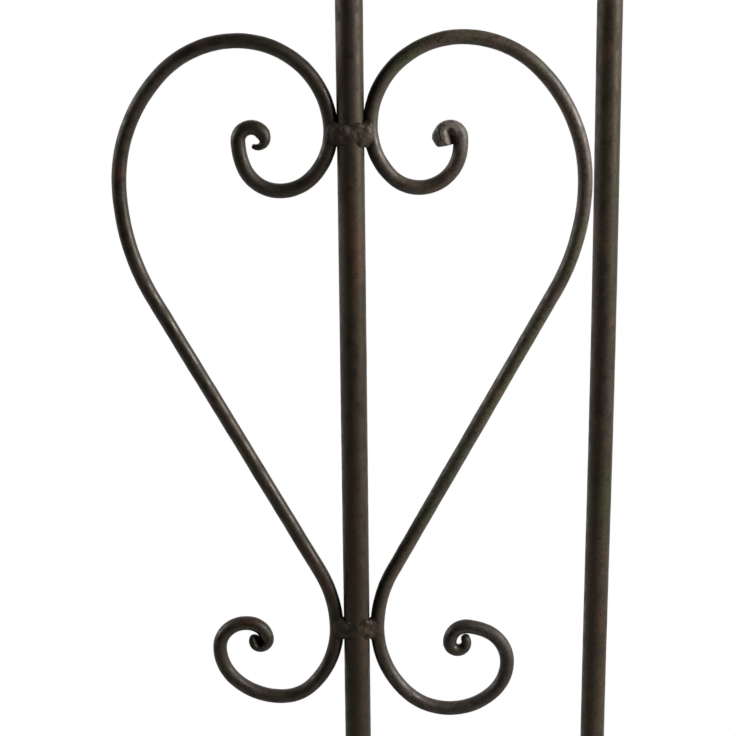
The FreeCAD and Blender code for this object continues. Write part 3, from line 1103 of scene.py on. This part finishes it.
class TRELLIS_OT_rails(bpy.types.Operator):
    """Bends the rails to the bow and runs weld metal where they cross the uprights"""

    bl_idname = "trellis.rails"
    bl_label = "Rails"

    def execute(self, context):
        sizes = context.scene.trellis_forging
        pattern = bent_bar()
        metal = run_metal(rail_weld_drops(), [], "rail_weld_pattern")
        for rail in RAILS:
            place = Vector((0, 0, middle(rail).z))
            bar = copied(pattern, rail + "_bar", place)
            uneven(bar, hammer_blows=0.8 * sizes.hammer_depth, hammer_scale=0.3 * sizes.hammer_depth)
            hand_over(bar, rail_patina(), "rails", rail)
            run = copied(metal, rail + "_weld_run", place)
            uneven(run, weld_runs=0.8 * sizes.weld_depth, weld_spatter=0.3 * sizes.weld_depth)
            hand_over(run, weld_patina(), "welds", rail + "_welds", angle=70)
        discard(pattern)
        discard(metal)
        return {"FINISHED"}


# Stage

# Places of the lights from the middle of the heart, and their width
KEY_PLACE = Vector((1.44, -0.45, 0.45))
FILL_PLACE = Vector((-1.45, 0.10, 0.45))
LIGHT_WIDTH = 0.8

# Brightness of the world around and behind the object, and where the one passes into the other
AROUND, BEHIND = 0.02, 0.5
BEHIND_LEVELS = (0.1, 0.8)

# Radius of the floor, its gap below the spikes, the distances between which it fades to white with how
# white it is at the first, and the grey that lights the object from below
FLOOR_RADIUS = 2.4
FLOOR_GAP = 0.5 * MM
FLOOR_FADE = (0.30 * FLOOR_RADIUS, 0.95 * FLOOR_RADIUS, 0.25)
FLOOR_GREY = (0.12, 0.12, 0.12, 1.0)

SENSOR_WIDTH = 36.0
NEAREST = 0.02


def soft_light(name, place, target, power):
    light = bpy.data.lights.new(name, "AREA")
    light.shape = "SQUARE"
    light.size = LIGHT_WIDTH
    light.energy = power
    lamp = bpy.data.objects.new(name, light)
    bpy.context.scene.collection.objects.link(lamp)
    lamp.location = place
    lamp.rotation_euler = (target - place).to_track_quat("-Z", "Y").to_euler()
    lamp.visible_camera = False


def studio_world():
    """White behind the object and wherever the camera looks past it, and dim around it."""
    world = bpy.data.worlds.new("studio")
    studio = Nodes(world, "Generated")
    dim, backdrop, white = (
        studio.add("Background", {"Color": (level, level, level, 1.0)}).outputs[0]
        for level in (AROUND, BEHIND, 1.0))
    depth = studio.add("SeparateXYZ", {"Vector": studio.place}).outputs["Y"]
    behind = studio.ranged(depth, *BEHIND_LEVELS)
    around = studio.blended(behind, dim, backdrop)
    studio.add("OutputWorld", {"Surface": studio.blended(studio.seen(behind), around, white)})
    bpy.context.scene.world = world


def floor_material(colour):
    """Pale floor that fades to white at its rim and throws little light up at the object."""
    floor = Nodes(bpy.data.materials.new("pale_floor"), "Object")
    rim = floor.ranged(floor.distance((0, 0, 0)), *FLOOR_FADE)
    seen = floor.seen()
    pale = floor.add("BsdfDiffuse", {"Color": (*colour, 1.0)}).outputs[0]
    grey = floor.add("BsdfDiffuse", {"Color": FLOOR_GREY}).outputs[0]
    white = floor.add("Emission").outputs[0]
    surface = floor.blended(floor.math("MULTIPLY", rim, seen), floor.blended(seen, grey, pale), white)
    floor.add("OutputMaterial", {"Surface": surface})
    return floor.owner


class TRELLIS_OT_stage(bpy.types.Operator):
    """Sets the floor, the soft lights and the camera before the upper right heart"""

    bl_idname = "trellis.stage"
    bl_label = "Stage"

    def execute(self, context):
        scene = context.scene
        setup = scene.trellis_stage
        scene.view_settings.view_transform = "Standard"
        heart = dict(heart_places())["top_right_heart"]
        deselect()
        bpy.ops.mesh.primitive_circle_add(vertices=96, radius=FLOOR_RADIUS, fill_type="NGON")
        floor = context.object
        floor.name = "floor"
        floor.location.z = CAD_BOX[0][2] - FLOOR_GAP
        floor.data.materials.append(floor_material(setup.floor_colour))
        studio_world()
        soft_light("key_light", heart + KEY_PLACE, heart, setup.key_power)
        soft_light("fill_light", heart + FILL_PLACE, heart, setup.fill_power)
        camera = bpy.data.cameras.new("camera")
        camera.sensor_width = SENSOR_WIDTH
        camera.lens = setup.lens
        camera.shift_x = setup.shift
        camera.clip_start = NEAREST
        viewer = bpy.data.objects.new("camera", camera)
        scene.collection.objects.link(viewer)
        back = Vector((0, -cos(setup.pitch), sin(setup.pitch)))
        right = Vector((1, 0, 0))
        up = back.cross(right)
        across = cos(setup.roll) * right + sin(setup.roll) * up
        above = cos(setup.roll) * up - sin(setup.roll) * right
        turn = Matrix((across, above, back)).transposed()
        viewer.matrix_world = Matrix.Translation(heart + back * setup.distance) @ turn.to_4x4()
        scene.camera = viewer
        return {"FINISHED"}


PIECES = (
    TRELLIS_OT_uprights,
    TRELLIS_OT_caps,
    TRELLIS_OT_ground_spikes,
    TRELLIS_OT_rails,
    TRELLIS_OT_scrolls,
    TRELLIS_OT_heart_welds,
    TRELLIS_OT_stage,
)


class TRELLIS_PT_panel(bpy.types.Panel):
    """Lists the pieces of the trellis in the order in which they are made"""

    bl_idname = "TRELLIS_PT_panel"
    bl_label = "Curved trellis"
    bl_space_type = "VIEW_3D"
    bl_region_type = "UI"
    bl_category = "Trellis"

    def draw(self, context):
        scene = context.scene
        for group in (scene.trellis_forging, scene.trellis_patina, scene.trellis_stage):
            box = self.layout.box()
            for name in group.__annotations__:
                box.prop(group, name)
        for piece in PIECES:
            self.layout.operator(piece.bl_idname)


GROUPS = (TrellisForging, TrellisPatina, TrellisStage)


def register():
    for cls in GROUPS + PIECES + (TRELLIS_PT_panel,):
        bpy.utils.register_class(cls)
    bpy.types.Scene.trellis_forging = PointerProperty(type=TrellisForging)
    bpy.types.Scene.trellis_patina = PointerProperty(type=TrellisPatina)
    bpy.types.Scene.trellis_stage = PointerProperty(type=TrellisStage)


def unregister():
    del bpy.types.Scene.trellis_stage
    del bpy.types.Scene.trellis_patina
    del bpy.types.Scene.trellis_forging
    for cls in reversed(GROUPS + PIECES + (TRELLIS_PT_panel,)):
        bpy.utils.unregister_class(cls)


def main():
    register()
    bpy.ops.trellis.uprights()
    bpy.ops.trellis.caps()
    bpy.ops.trellis.ground_spikes()
    bpy.ops.trellis.rails()
    bpy.ops.trellis.scrolls()
    bpy.ops.trellis.heart_welds()
    bpy.ops.trellis.stage()
    deselect()


if __name__ == "__main__":
    main()
